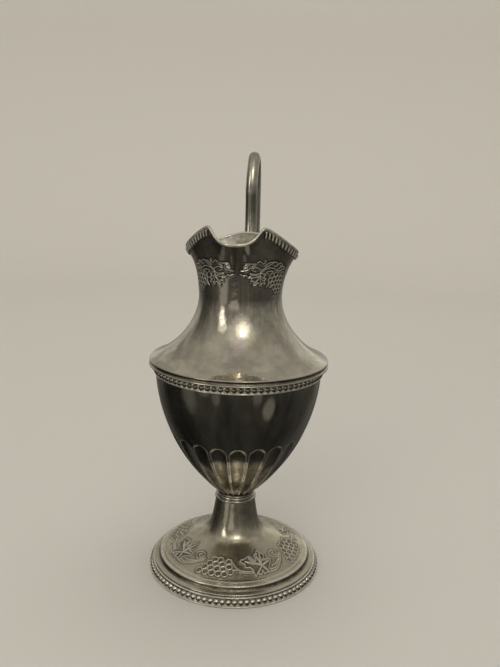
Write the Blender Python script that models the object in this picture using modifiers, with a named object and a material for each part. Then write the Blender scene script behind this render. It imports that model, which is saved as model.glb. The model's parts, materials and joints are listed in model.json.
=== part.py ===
# Pedestal creamer: a small silver-plated cream jug on a hollow spun foot.
# Metres, +Z up. The jug is turned about the Z axis and stands on z = 0.
# The spout faces -Y and the handle stands behind it, at +Y.

import math

import bmesh
import bpy

OBJECT_NAME = "pedestal_creamer"

# Shared sizes
GAP = 0.0003
WALL = 0.0009
ROUND_STEPS = 48

# Foot: base ring, bead border, stepped edge, chased slope and trumpet stem
BASE_RADIUS = 0.0349
BASE_BORE = 0.0317
BASE_THICKNESS = 0.0006
FOOT_BEADS = 92
FOOT_BEAD_RADIUS = 0.0348
FOOT_BEAD_VALLEY = 0.0341
FOOT_BORDER_BORE = 0.0330
FOOT_BORDER_BOTTOM = BASE_THICKNESS + GAP
FOOT_BEAD_TOP = 0.0025
FOOT_BORDER_TOP = 0.0036
SKIRT_RADIUS = 0.0327
BULGE_RADIUS = 0.0330
BULGE_BOTTOM = 0.0039
BULGE_TOP = 0.0050
STEP_RADIUS = 0.0305
STEP_TOP = 0.0064
SLOPE_TOP = (0.0160, 0.01295)
TRUMPET_PULLS = [(0.0107, 0.0154), (0.0099, 0.0153)]
TRUMPET_POINTS = 6
STEM_TOP = (0.00795, 0.0291)
SPIGOT_RADIUS = 0.0070
SPIGOT_TOP = 0.0317

# Collar round the joint of stem and bowl
COLLAR_BORE = SPIGOT_RADIUS + GAP
COLLAR_RADIUS = 0.0085
COLLAR_WAIST = 0.0080
COLLAR_BOTTOM = STEM_TOP[1] + GAP
COLLAR_TOP = 0.0318
COLLAR_STEPS = 40

# Bowl, with tongue flutes that rise from the collar. Their turn and half width are shares of the pitch.
BOWL_BOTTOM = (0.0066, 0.0322)
BOWL_PULLS = [(0.0185, 0.0419), (0.0313, 0.0601)]
BOWL_TOP = (0.0326, 0.0830)
BOWL_WALL = 0.0013
BOWL_POINTS = 10
BOWL_SEAT_RADIUS = 0.0320
BOWL_SEAT_TOP = 0.0859
FLUTES = 22
FLUTE_TURN = 0.6
FLUTE_HALF_WIDTH = 0.43
FLUTE_DEPTH = 0.0007
FLUTE_TOP = 0.0600
FLUTE_FADE = 4
FLUTE_END_SHARPNESS = 6

# Beaded band over the seam of bowl and shoulder
BAND_BEADS = 86
BAND_BORE = BOWL_SEAT_RADIUS + GAP
BAND_EDGE = 0.0328
BAND_BEAD_RADIUS = 0.0335
BAND_VALLEY = 0.0328
BAND_BOTTOM = 0.0836
BAND_TOP = 0.0859

# Shoulder and neck
SHOULDER_BOTTOM = BOWL_SEAT_TOP + GAP
SHOULDER_BORE = 0.0312
SHOULDER_OUTLINE = [(0.0349, SHOULDER_BOTTOM), (0.0352, 0.0866), (0.0345, 0.0874), (0.0348, 0.0883)]
NECK_BASE = (0.0344, 0.08875)
NECK_PULLS = [(0.0246, 0.0926), (0.0154, 0.1033)]
NECK_WAIST = (0.01606, 0.1137)
NECK_POINTS = 6
BODY_STEPS = 64

# Wavy lip: radius, height and outward lean at the spout, the peaks beside it, the sides and the back
SPOUT_RADIUS = 0.0192
SPOUT_HEIGHT = 0.1344
SPOUT_LEAN = math.radians(22)
SPOUT_SHARPNESS = 3
PEAK_ANGLE = math.radians(33.75)
PEAK_RADIUS = 0.0178
PEAK_HEIGHT = 0.1404
PEAK_LEAN = math.radians(15)
SIDE_ANGLE = math.radians(95)
SIDE_RADIUS = 0.0219
SIDE_LEAN = math.radians(35)
LOW_ANGLE = math.radians(108)
LOW_HEIGHT = 0.1301
WAVE_SHARPNESS = 0.82
BACK_RADIUS = 0.0198
BACK_HEIGHT = 0.1357
BACK_LEAN = math.radians(32)
WAIST_PULL = 0.38
RIM_PULL = 0.0068
LIP_POINTS = 6

# Rim wire and ribbed border
RIM_WIRE_RADIUS = 0.0005
RIM_WIRE_SIDES = 6
BORDER_START = 0.0011
BORDER_WIDTH_PEAK = 0.0026
BORDER_WIDTH_SIDE = 0.0024
BORDER_END_ANGLE = PEAK_ANGLE + math.radians(2)
RIBS = 64
RIB_HEIGHT = 0.0009
RIB_VALLEY = 0.0006

# Handle: one round wire in the YZ plane, from the back of the neck to the shoulder
HANDLE_WIRE_RADIUS = 0.0022
HANDLE_ROUNDNESS = 3
HANDLE_STEPS = 5
HANDLE_ROUTE = [
    (0.0196, 0.1266),
    (0.0208, 0.1298),
    (0.0228, 0.1360),
    (0.0227, 0.1470),
    (0.0228, 0.1540),
    (0.0253, 0.1613),
    (0.0290, 0.1656),
    (0.0323, 0.1624),
    (0.0341, 0.1515),
    (0.0344, 0.1300),
    (0.0340, 0.1080),
    (0.0316, 0.0915),
]

# Silver plate: bright where it is handled, duller and warmer in the ornament
PLATE_COLOUR = (0.62, 0.59, 0.53, 1.0)
DULL_COLOUR = (0.50, 0.47, 0.41, 1.0)
PLATE_ROUGHNESS = 0.22
DULL_ROUGHNESS = 0.34
SHARP_ANGLE = math.radians(40)


def clear_scene():
    for old in list(bpy.data.objects):
        bpy.data.objects.remove(old, do_unlink=True)


def make_collection():
    collection = bpy.data.collections.new(OBJECT_NAME)
    bpy.context.scene.collection.children.link(collection)
    return collection


def make_material(name, colour, roughness):
    material = bpy.data.materials.new(name + "_plate")
    material.use_nodes = True
    shader = material.node_tree.nodes["Principled BSDF"]
    shader.inputs["Base Color"].default_value = colour
    shader.inputs["Roughness"].default_value = roughness
    shader.inputs["Metallic"].default_value = 1.0
    return material


def add_piece(collection, name, data, colour, roughness):
    piece = bpy.data.objects.new(name, data)
    data.materials.append(make_material(name, colour, roughness))
    collection.objects.link(piece)
    return piece


def ease(start, end, fraction):
    # Half a cosine wave from start to end
    weight = 0.5 - 0.5 * math.cos(math.pi * fraction)
    return start + (end - start) * weight


def blend(points, weights):
    radius = sum(weight * point[0] for weight, point in zip(weights, points))
    height = sum(weight * point[1] for weight, point in zip(weights, points))
    return radius, height


def cubic(curve, fraction):
    # Point on a cubic curve, given as its start, two pull points and its end
    rest = 1 - fraction
    return blend(curve, (rest**3, 3 * rest**2 * fraction, 3 * rest * fraction**2, fraction**3))


def cubic_direction(curve, fraction):
    # Unit direction along a cubic curve
    rest = 1 - fraction
    legs = [(after[0] - point[0], after[1] - point[1]) for point, after in zip(curve, curve[1:])]
    run, rise = blend(legs, (rest**2, 2 * rest * fraction, fraction**2))
    length = math.hypot(run, rise)
    return run / length, rise / length


def cubic_run(curve, count, last=1):
    return [cubic(curve, last * index / (count - 1)) for index in range(count)]


def inset(outline, distance):
    # Moves an outline that runs up its outer side towards the axis, square to its own direction
    moved = []
    for index, (radius, height) in enumerate(outline):
        before = outline[max(index - 1, 0)]
        after = outline[min(index + 1, len(outline) - 1)]
        run, rise = after[0] - before[0], after[1] - before[1]
        length = math.hypot(run, rise)
        moved.append((radius - distance * rise / length, height + distance * run / length))
    return moved


def place(angle, radius, height):
    # The angle is counted from the spout, which faces -Y
    return radius * math.sin(angle), -radius * math.cos(angle), height


def turned(collection, name, outline, steps, colour, roughness):
    # The outline is a closed loop that runs down its outer side and up its inner side
    data = bpy.data.meshes.new(name)
    points = [(radius, 0, height) for radius, height in outline]
    edges = [(index, (index + 1) % len(points)) for index in range(len(points))]
    data.from_pydata(points, edges, [])
    piece = add_piece(collection, name, data, colour, roughness)
    screw = piece.modifiers.new("turn", "SCREW")
    screw.steps = steps
    screw.render_steps = steps
    screw.use_merge_vertices = True
    screw.merge_threshold = 0.00001
    return piece


def lofted(collection, name, rings, closed, colour, roughness):
    # Skins a row of like-numbered rings. A closed row meets its own start, an open one is capped.
    mesh = bmesh.new()
    loops = [[mesh.verts.new(point) for point in ring] for ring in rings]
    size = len(loops[0])
    pairs = list(zip(loops, loops[1:]))
    if closed:
        pairs.append((loops[-1], loops[0]))
    for lower, upper in pairs:
        for index in range(size):
            after = (index + 1) % size
            mesh.faces.new((lower[index], lower[after], upper[after], upper[index]))
    if not closed:
        mesh.faces.new(loops[0])
        mesh.faces.new(loops[-1])
    bmesh.ops.recalc_face_normals(mesh, faces=mesh.faces)
    data = bpy.data.meshes.new(name)
    mesh.to_mesh(data)
    mesh.free()
    data.shade_smooth()
    data.set_sharp_from_angle(angle=SHARP_ANGLE)
    return add_piece(collection, name, data, colour, roughness)


def turns(count):
    return [2 * math.pi * index / count for index in range(count)]


def beaded_ring(collection, name, beads, section):
    # The section takes 1 at the top of a bead and 0 in the valley between two
    rings = []
    for index, angle in enumerate(turns(2 * beads)):
        rings.append([place(angle, *point) for point in section(index % 2)])
    return lofted(collection, name, rings, True, DULL_COLOUR, DULL_ROUGHNESS)


# Foot
def add_foot_base_ring(collection):
    outline = [
        (BASE_BORE, BASE_THICKNESS),
        (BASE_RADIUS, BASE_THICKNESS),
        (BASE_RADIUS, 0),
        (BASE_BORE, 0),
    ]
    turned(collection, "foot_base_ring", outline, ROUND_STEPS, PLATE_COLOUR, PLATE_ROUGHNESS)


def add_foot_bead_border(collection):
    bead_middle = (FOOT_BORDER_BOTTOM + FOOT_BEAD_TOP) / 2

    def section(swell):
        bead = FOOT_BEAD_VALLEY + (FOOT_BEAD_RADIUS - FOOT_BEAD_VALLEY) * swell
        return [
            (FOOT_BORDER_BORE, FOOT_BORDER_BOTTOM),
            (FOOT_BEAD_VALLEY, FOOT_BORDER_BOTTOM),
            (bead, bead_middle),
            (FOOT_BEAD_VALLEY - GAP, FOOT_BEAD_TOP),
            (FOOT_BORDER_BORE + WALL, FOOT_BORDER_TOP),
            (FOOT_BORDER_BORE, FOOT_BORDER_TOP),
        ]

    beaded_ring(collection, "foot_bead_border", FOOT_BEADS, section)


def add_foot_shell(collection):
    trumpet = cubic_run([SLOPE_TOP, *TRUMPET_PULLS, STEM_TOP], TRUMPET_POINTS)
    slope = [(STEP_RADIUS, STEP_TOP)] + trumpet
    inner_slope = inset(slope, WALL)
    edge = [
        (STEP_RADIUS + GAP, BULGE_TOP + GAP),
        (BULGE_RADIUS - WALL / 2, BULGE_TOP),
        (BULGE_RADIUS, (BULGE_TOP + BULGE_BOTTOM) / 2),
        (SKIRT_RADIUS, BULGE_BOTTOM),
        (SKIRT_RADIUS, FOOT_BORDER_BOTTOM),
    ]
    inner_edge = [
        (SKIRT_RADIUS - WALL, FOOT_BORDER_BOTTOM),
        (SKIRT_RADIUS - WALL, BULGE_BOTTOM),
        (STEP_RADIUS - WALL, BULGE_TOP - WALL / 2),
    ]
    spigot = [(SPIGOT_RADIUS, SPIGOT_TOP), (SPIGOT_RADIUS, STEM_TOP[1])]
    bore = [(SPIGOT_RADIUS - WALL, SPIGOT_TOP)]
    outline = spigot + slope[::-1] + edge + inner_edge + inner_slope[1:-1] + bore
    turned(collection, "foot_shell", outline, ROUND_STEPS, PLATE_COLOUR, PLATE_ROUGHNESS)


def add_stem_collar(collection):
    middle = (COLLAR_TOP + COLLAR_BOTTOM) / 2
    quarter = (COLLAR_TOP - COLLAR_BOTTOM) / 4
    outline = [
        (COLLAR_BORE, COLLAR_TOP),
        (COLLAR_WAIST, COLLAR_TOP),
        (COLLAR_RADIUS, middle + quarter),
        (COLLAR_WAIST, middle),
        (COLLAR_RADIUS, middle - quarter),
        (COLLAR_WAIST, COLLAR_BOTTOM),
        (COLLAR_BORE, COLLAR_BOTTOM),
    ]
    turned(collection, "stem_collar", outline, COLLAR_STEPS, PLATE_COLOUR, PLATE_ROUGHNESS)


# Bowl
def flute_cut(height):
    # Full depth for most of the flute, with a round end at the top and a fade at the collar
    start = BOWL_BOTTOM[1]
    fraction = (height - start) / (FLUTE_TOP - start)
    if fraction <= 0 or fraction >= 1:
        return 0
    return FLUTE_DEPTH * min(1, FLUTE_FADE * fraction) * math.sqrt(1 - fraction**FLUTE_END_SHARPNESS)


def fluted_ring(radius, height, cut):
    # Three points to a flute: its two edges and its hollow middle
    pitch = 2 * math.pi / FLUTES
    ring = []
    for flute in range(FLUTES):
        middle = flute + FLUTE_TURN
        ring.append(place((middle - FLUTE_HALF_WIDTH) * pitch, radius, height))
        ring.append(place(middle * pitch, radius - cut, height))
        ring.append(place((middle + FLUTE_HALF_WIDTH) * pitch, radius, height))
    return ring


def add_bowl(collection):
    wall = cubic_run([BOWL_BOTTOM, *BOWL_PULLS, BOWL_TOP], BOWL_POINTS)
    seat = [(BOWL_SEAT_RADIUS, BOWL_TOP[1] + GAP), (BOWL_SEAT_RADIUS, BOWL_SEAT_TOP)]
    lining = [(radius - BOWL_WALL, height) for radius, height in seat[::-1]]
    lining += inset(wall, BOWL_WALL)[-2:0:-1]
    rings = [fluted_ring(radius, height, flute_cut(height)) for radius, height in wall]
    rings += [fluted_ring(radius, height, 0) for radius, height in seat + lining]
    lofted(collection, "bowl", rings, False, PLATE_COLOUR, PLATE_ROUGHNESS)


def add_bowl_bead_band(collection):
    def section(swell):
        bead = BAND_VALLEY + (BAND_BEAD_RADIUS - BAND_VALLEY) * swell
        return [
            (BAND_BORE, BAND_BOTTOM),
            (BAND_EDGE, BAND_BOTTOM),
            (bead, (BAND_BOTTOM + BAND_TOP) / 2),
            (BAND_EDGE, BAND_TOP),
            (BAND_BORE, BAND_TOP),
        ]

    beaded_ring(collection, "bowl_bead_band", BAND_BEADS, section)


# Upper body and lip
def from_spout(angle):
    # Turn away from the spout, alike on both sides
    return abs((angle + math.pi) % (2 * math.pi) - math.pi)


def between_stations(angle, stations):
    # Eases between (angle, value) stations that run from the spout to the back
    away = from_spout(angle)
    for (start, low), (end, high) in zip(stations, stations[1:]):
        if away <= end:
            return ease(low, high, (away - start) / (end - start))
    return stations[-1][1]


def rim_height(angle):
    # A pouring dip with steep ends, then a long wave from the peaks to the back
    away = from_spout(angle)
    if away < PEAK_ANGLE:
        return SPOUT_HEIGHT + (PEAK_HEIGHT - SPOUT_HEIGHT) * (away / PEAK_ANGLE) ** SPOUT_SHARPNESS
    if away < LOW_ANGLE:
        fraction = (away - PEAK_ANGLE) / (LOW_ANGLE - PEAK_ANGLE)
        return ease(PEAK_HEIGHT, LOW_HEIGHT, fraction**WAVE_SHARPNESS)
    return ease(LOW_HEIGHT, BACK_HEIGHT, (away - LOW_ANGLE) / (math.pi - LOW_ANGLE))


def rim_radius(angle):
    stations = [
        (0, SPOUT_RADIUS),
        (PEAK_ANGLE, PEAK_RADIUS),
        (SIDE_ANGLE, SIDE_RADIUS),
        (math.pi, BACK_RADIUS),
    ]
    return between_stations(angle, stations)


def rim_lean(angle):
    stations = [
        (0, SPOUT_LEAN),
        (PEAK_ANGLE, PEAK_LEAN),
        (SIDE_ANGLE, SIDE_LEAN),
        (math.pi, BACK_LEAN),
    ]
    return between_stations(angle, stations)


def lip_curve(angle):
    # Section of the lip's outer face, from the upright waist of the neck to the leaning rim
    lean = rim_lean(angle)
    rim = (rim_radius(angle), rim_height(angle))
    lower = (NECK_WAIST[0], NECK_WAIST[1] + WAIST_PULL * (rim[1] - NECK_WAIST[1]))
    upper = (rim[0] - RIM_PULL * math.sin(lean), rim[1] - RIM_PULL * math.cos(lean))
    return [NECK_WAIST, lower, upper, rim]


def lip_fraction(down):
    # A cubic leaves its end at three pull lengths for each unit of its fraction
    return 1 - down / (3 * RIM_PULL)


def lip_point(angle, down, out):
    # A point measured from the rim: down along the lip and out square to its outer face
    curve = lip_curve(angle)
    fraction = lip_fraction(down)
    radius, height = cubic(curve, fraction)
    run, rise = cubic_direction(curve, fraction)
    return radius + out * rise, height - out * run


def lip_outline(angle):
    # From the waist of the neck up to the edge under the rim wire
    edge = lip_fraction(2 * RIM_WIRE_RADIUS + GAP)
    return cubic_run(lip_curve(angle), LIP_POINTS, edge)


def body_section(angle):
    neck = cubic_run([NECK_BASE, *NECK_PULLS, NECK_WAIST], NECK_POINTS)
    outside = neck + lip_outline(angle)[1:]
    inside = inset(outside, WALL)[::-1]
    flange = [(SHOULDER_BORE, SHOULDER_BOTTOM + WALL), (SHOULDER_BORE, SHOULDER_BOTTOM)]
    return flange + SHOULDER_OUTLINE + outside + inside


def add_upper_body(collection):
    rings = [[place(angle, *point) for point in body_section(angle)] for angle in turns(BODY_STEPS)]
    lofted(collection, "upper_body", rings, True, PLATE_COLOUR, PLATE_ROUGHNESS)


def add_rim_wire(collection):
    rings = []
    for angle in turns(BODY_STEPS):
        ring = []
        for side in turns(RIM_WIRE_SIDES):
            down = RIM_WIRE_RADIUS * (1 - math.cos(side))
            out = RIM_WIRE_RADIUS * math.sin(side) - WALL / 2
            ring.append(place(angle, *lip_point(angle, down, out)))
        rings.append(ring)
    lofted(collection, "rim_wire", rings, True, PLATE_COLOUR, PLATE_ROUGHNESS)


def add_rim_border(collection):
    # Ribs stand square to the rim, from one side of the pouring dip round the back to the other
    widths = [(0, BORDER_WIDTH_PEAK), (PEAK_ANGLE, BORDER_WIDTH_PEAK), (SIDE_ANGLE, BORDER_WIDTH_SIDE)]
    sweep = 2 * (math.pi - BORDER_END_ANGLE)
    rings = []
    for index in range(2 * RIBS + 1):
        angle = BORDER_END_ANGLE + sweep * index / (2 * RIBS)
        out = RIB_HEIGHT if index % 2 else RIB_VALLEY
        top = BORDER_START
        bottom = top + between_stations(angle, widths)
        corners = [(top, GAP), (top, out), (bottom - out / 2, out), (bottom, GAP)]
        rings.append([place(angle, *lip_point(angle, *corner)) for corner in corners])
    lofted(collection, "rim_border", rings, False, DULL_COLOUR, DULL_ROUGHNESS)


# Handle
def add_handle(collection):
    data = bpy.data.curves.new("handle", "CURVE")
    data.dimensions = "3D"
    data.bevel_depth = HANDLE_WIRE_RADIUS
    data.bevel_resolution = HANDLE_ROUNDNESS
    data.resolution_u = HANDLE_STEPS
    data.use_fill_caps = True
    spline = data.splines.new("BEZIER")
    spline.bezier_points.add(len(HANDLE_ROUTE) - 1)
    for point, (back, height) in zip(spline.bezier_points, HANDLE_ROUTE):
        point.co = (0, back, height)
        point.handle_left_type = "AUTO"
        point.handle_right_type = "AUTO"
    add_piece(collection, "handle", data, PLATE_COLOUR, PLATE_ROUGHNESS)


clear_scene()
creamer = make_collection()
add_foot_base_ring(creamer)
add_foot_bead_border(creamer)
add_foot_shell(creamer)
add_stem_collar(creamer)
add_bowl(creamer)
add_bowl_bead_band(creamer)
add_upper_body(creamer)
add_rim_wire(creamer)
add_rim_border(creamer)
add_handle(creamer)
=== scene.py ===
import json
import math

import bpy
import numpy as np
from mathutils import Matrix, Vector

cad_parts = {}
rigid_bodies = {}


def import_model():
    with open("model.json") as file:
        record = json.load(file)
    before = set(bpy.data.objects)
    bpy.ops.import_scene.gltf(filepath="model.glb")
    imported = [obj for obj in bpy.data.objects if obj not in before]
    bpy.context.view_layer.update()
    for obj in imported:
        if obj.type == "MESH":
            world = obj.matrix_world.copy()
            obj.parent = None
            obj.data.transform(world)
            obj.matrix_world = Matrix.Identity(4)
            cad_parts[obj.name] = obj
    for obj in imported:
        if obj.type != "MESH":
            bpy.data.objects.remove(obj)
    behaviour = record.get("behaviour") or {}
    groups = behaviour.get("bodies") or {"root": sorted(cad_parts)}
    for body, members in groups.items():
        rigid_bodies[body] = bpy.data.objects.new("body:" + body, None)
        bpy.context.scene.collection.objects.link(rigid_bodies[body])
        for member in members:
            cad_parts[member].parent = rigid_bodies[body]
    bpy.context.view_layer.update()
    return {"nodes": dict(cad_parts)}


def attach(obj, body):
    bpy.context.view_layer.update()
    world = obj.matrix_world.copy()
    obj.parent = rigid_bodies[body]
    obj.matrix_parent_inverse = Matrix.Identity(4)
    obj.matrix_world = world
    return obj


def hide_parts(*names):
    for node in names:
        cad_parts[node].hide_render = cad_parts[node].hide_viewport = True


for old in list(bpy.data.objects):
    bpy.data.objects.remove(old)
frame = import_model()
print("frame loaded:", len(frame["nodes"]), "nodes")

# Shapes are worked out in millimetres, with angles counted from the spout at -Y; the meshes are in metres
mm = 0.001


def turnAngles(count):
    # count even steps round a full turn
    return 2 * np.pi * np.arange(count) / count


def ease(low, high, fraction):
    # half a cosine wave from low to high
    return low + (high - low) * (0.5 - 0.5 * np.cos(np.pi * np.clip(fraction, 0, 1)))


def smoothStep(low, high, value):
    # 0 below low, 1 above high, and 3t^2 - 2t^3 between
    share = np.clip((value - low) / (high - low), 0, 1)
    return share * share * (3 - 2 * share)


def cubicAt(corners, t):
    # cubic curve from its start, two pull points and end, at the fraction t
    a, b, c, d = corners
    return a * (1 - t) ** 3 + 3 * b * t * (1 - t) ** 2 + 3 * c * t ** 2 * (1 - t) + d * t ** 3


def cubicSlope(corners, t):
    # a third of the cubic's rate of change with t
    a, b, c, d = corners
    return (b - a) * (1 - t) ** 2 + 2 * (c - b) * t * (1 - t) + (d - c) * t ** 2


def cubicLine(corners, count):
    # the cubic at even steps of t
    return cubicAt(np.asarray(corners, float), np.linspace(0, 1, count)[:, None])


def smoothLine(points, perSpan):
    # curve through every point, with the direction at each taken from its two neighbours
    p = np.asarray(points, float)
    p = np.vstack([2 * p[0] - p[1], p, 2 * p[-1] - p[-2]])
    a, b, c, d = p[:-3], p[1:-2], p[2:-1], p[3:]
    t = np.linspace(0, 1, perSpan, endpoint=False)[:, None, None]
    curve = b + 0.5 * t * (c - a + t * (2 * a - 5 * b + 4 * c - d + t * (3 * (b - c) + d - a)))
    return np.vstack([curve.transpose(1, 0, 2).reshape(-1, p.shape[1]), p[-2]])


def lengthAlong(line):
    # distance along a line to each of its points
    return np.concatenate([[0], np.cumsum(np.hypot(*np.diff(line, axis=0).T))])


def evenly(line, spacing):
    # the same line, resampled at even steps of its own length
    length = lengthAlong(line)
    wanted = np.linspace(0, length[-1], max(2, int(round(length[-1] / spacing)) + 1))
    return np.stack([np.interp(wanted, length, line[:, 0]), np.interp(wanted, length, line[:, 1])], -1)


def outwardOf(line):
    # unit normals on the right of a line that runs upwards, that is, away from the axis
    run, rise = np.gradient(line, axis=0).T
    return np.stack([rise, -run], -1) / np.hypot(run, rise)[:, None]


def inset(line, distance):
    # the line moved inwards along its own normals
    return line - distance * outwardOf(line)


def ramped(value, stops):
    # straight lines between (place, value) stops
    return np.interp(value, *np.transpose(stops))


def placed(angles, radius, height):
    # point at an angle from the spout, a radius from the axis and a height
    angles, radius, height = np.broadcast_arrays(angles, radius, height)
    return np.stack([radius * np.sin(angles), -radius * np.cos(angles), height], -1)


def spun(line, count):
    # an outline carried round the axis
    return placed(turnAngles(count), line[:, :1], line[:, 1:])


def pushedOut(line, normal, push, count):
    # an outline carried round the axis, each point pushed along the outline's normal
    return placed(turnAngles(count), line[:, :1] + push * normal[:, :1], line[:, 1:] + push * normal[:, 1:])


def quadBand(lower, upper):
    # one four-sided face between each two neighbours of two rings with equal counts
    return np.stack([lower, np.roll(lower, -1), np.roll(upper, -1), upper], -1)


def stepBand(fine, coarse):
    # triangles between two rings, the fine one with a whole number of points to each coarse one
    ratio = len(fine) // len(coarse)
    legs = np.stack([np.roll(fine, -1), fine], -1).reshape(len(coarse), ratio, 2)
    after = np.roll(coarse, -1)
    near = np.where(np.arange(ratio) < ratio // 2, coarse[:, None], after[:, None])
    fans = np.concatenate([near[..., None], legs], -1).reshape(-1, 3)
    return np.vstack([fans, np.stack([coarse, after, legs[:, ratio // 2, 1]], -1)])


def joinRings(lower, upper):
    # four-sided faces where the counts are equal, triangles where one ring is finer
    if len(lower) == len(upper):
        return quadBand(lower, upper), np.zeros((0, 3), int)
    if len(lower) < len(upper):
        return np.zeros((0, 4), int), stepBand(upper, lower)
    return np.zeros((0, 4), int), stepBand(lower, upper)[:, ::-1]


def addShade(mesh, name, values, blocks):
    # one number at each point of the blocks, 0 at the middles of the end fans
    shade = np.zeros(len(mesh.vertices), np.float32)
    if values is not None:
        flat = np.concatenate([np.broadcast_to(v, b.shape[:2]).ravel() for v, b in zip(values, blocks)])
        shade[: len(flat)] = flat
    mesh.attributes.new(name, "FLOAT", "POINT").data.foreach_set("value", shade)


def skin(name, blocks, closed, shadeAndGrime=None, highlightAndWear=None, matte=None):
    # faces between neighbouring rings of every block; a closed row of rings meets its start,
    # an open one gets a fan at each end; faces are turned outwards where the volume comes out negative
    points = np.vstack([block.reshape(-1, 3) for block in blocks])
    rings = []
    for block in blocks:
        start = rings[-1][-1] + 1 if rings else 0
        index = start + np.arange(block.shape[0] * block.shape[1]).reshape(block.shape[:2])
        rings.extend(index)
    pairs = list(zip(rings, rings[1:])) + ([(rings[-1], rings[0])] if closed else [])
    joined = [joinRings(lower, upper) for lower, upper in pairs]
    quads = np.vstack([pair[0] for pair in joined])
    triangles = np.vstack([pair[1] for pair in joined])
    if not closed:
        first, last = rings[0], rings[-1]
        ends = len(points) + np.arange(2)
        points = np.vstack([points, points[first].mean(0), points[last].mean(0)])
        startFan = np.stack([np.roll(first, -1), first, np.full(len(first), ends[0])], -1)
        endFan = np.stack([last, np.roll(last, -1), np.full(len(last), ends[1])], -1)
        triangles = np.vstack([triangles, startFan, endFan])
    a, b, c = points[np.vstack([quads[:, :3], quads[:, [0, 2, 3]], triangles])].transpose(1, 0, 2)
    if (a * np.cross(b, c)).sum() < 0:
        quads, triangles = quads[:, ::-1], triangles[:, ::-1]
    mesh = bpy.data.meshes.new(name)
    mesh.vertices.add(len(points))
    mesh.vertices.foreach_set("co", (points * mm).astype(np.float32).ravel())
    corners = np.concatenate([quads.ravel(), triangles.ravel()])
    mesh.loops.add(len(corners))
    mesh.loops.foreach_set("vertex_index", corners.astype(np.int32))
    starts = np.concatenate([np.arange(0, quads.size, 4), quads.size + np.arange(0, triangles.size, 3)])
    mesh.polygons.add(len(starts))
    mesh.polygons.foreach_set("loop_start", starts.astype(np.int32))
    mesh.update(calc_edges=True)
    mesh.shade_smooth()
    for shadeName, values in (("shadeAndGrime", shadeAndGrime), ("highlightAndWear", highlightAndWear), ("matte", matte)):
        addShade(mesh, shadeName, values, blocks)
    return mesh


def addPiece(name, mesh, material, node, sharp=None):
    # one object at the origin; edges that bend by more than the sharp angle, in degrees, stay crisp
    if sharp is not None:
        mesh.set_sharp_from_angle(angle=math.radians(sharp))
    mesh.materials.append(material)
    piece = bpy.data.objects.new(name, mesh)
    bpy.context.scene.collection.objects.link(piece)
    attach(piece, "root")
    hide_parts(node)
    mesh.calc_loop_triangles()
    print("piece", name, len(mesh.loop_triangles), "triangles")


# Materials
colourSockets = ("Color", "Bright", "Straw", "Plum", "ShadeAndDirt", "HighlightAndWornColour")


def newGroup(name, inputs, outputs):
    # sockets are given by name: the named colours as colours, the others as numbers
    group = bpy.data.node_groups.new(name, "ShaderNodeTree")
    for way, names in (("INPUT", inputs), ("OUTPUT", outputs)):
        for socketName in names:
            kind = "NodeSocketColor" if socketName in colourSockets else "NodeSocketFloat"
            group.interface.new_socket(socketName, in_out=way, socket_type=kind)
    return group, group.nodes.new("NodeGroupInput"), group.nodes.new("NodeGroupOutput")


def feed(tree, socket, value):
    # a plain value is set on the socket, another node's output is linked to it
    if isinstance(value, (int, float, tuple)):
        socket.default_value = value
    else:
        tree.links.new(value, socket)


def addNoise(tree, coords, scale, detail, roughness=0.55, stretch=None):
    # noise over the coordinates, which are first scaled along each axis where a stretch is given
    if stretch is not None:
        mapping = tree.nodes.new("ShaderNodeMapping")
        mapping.inputs["Scale"].default_value = stretch
        tree.links.new(coords, mapping.inputs["Vector"])
        coords = mapping.outputs["Vector"]
    noise = tree.nodes.new("ShaderNodeTexNoise")
    noise.inputs["Scale"].default_value = scale
    noise.inputs["Detail"].default_value = detail
    noise.inputs["Roughness"].default_value = roughness
    tree.links.new(coords, noise.inputs["Vector"])
    return noise.outputs["Fac"]


def addRange(tree, value, fromLow, fromHigh, toLow=0.0, toHigh=1.0):
    # a smooth step from one range of values to another
    node = tree.nodes.new("ShaderNodeMapRange")
    node.interpolation_type = "SMOOTHSTEP"
    sockets = ("Value", "From Min", "From Max", "To Min", "To Max")
    for socketName, given in zip(sockets, (value, fromLow, fromHigh, toLow, toHigh)):
        feed(tree, node.inputs[socketName], given)
    return node.outputs["Result"]


def addMath(tree, operation, *values):
    # one sum on numbers or other nodes' outputs
    node = tree.nodes.new("ShaderNodeMath")
    node.operation = operation
    for socket, value in zip(node.inputs, values):
        feed(tree, socket, value)
    return node.outputs[0]


def times(tree, first, second):
    # the product of two values
    return addMath(tree, "MULTIPLY", first, second)


def timesPlus(tree, first, second, third):
    # the product of the first two, and the third added
    return addMath(tree, "MULTIPLY_ADD", first, second, third)


def addMix(tree, share, first, second):
    # the colour sockets of a Mix node come after those for numbers and vectors
    node = tree.nodes.new("ShaderNodeMix")
    node.data_type = "RGBA"
    for index, value in ((0, share), (6, first), (7, second)):
        feed(tree, node.inputs[index], value)
    return node.outputs[2]


filmLayers = {  # noise scale per metre, detail, roughness, and the noise where the layer starts and is full
    "blotch": (85, 4, 0.55, 0.26, 0.74),
    "stain": (290, 5, 0.62, 0.44, 0.72),
    "hue": (140, 3, 0.5, 0.42, 0.62),
    "smear": (420, 4, 0.6, 0.45, 0.68),
    "pit": (2300, 1, 0.55, 0.68, 0.75),
}
filmLooks = {
    "blotchCover": 0.55,
    "stainCover": 0.45,
    "smearStretch": (1, 1, 0.3),
    "pitColour": (0.09, 0.075, 0.055, 1),
    "pitCover": 0.6,
    "stainRoughness": 0.05,
    "smearRoughness": 0.04,
    "coveredMetal": 0.965,
    "dent": (120, 2, 0.5),  # noise scale, detail and roughness
    "ripple": (420, 2, 0.5),
    "rippleHeight": 0.35,  # of the dents
    "grain": (1500, 1),
    "grainHeight": 0.04,
}


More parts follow.
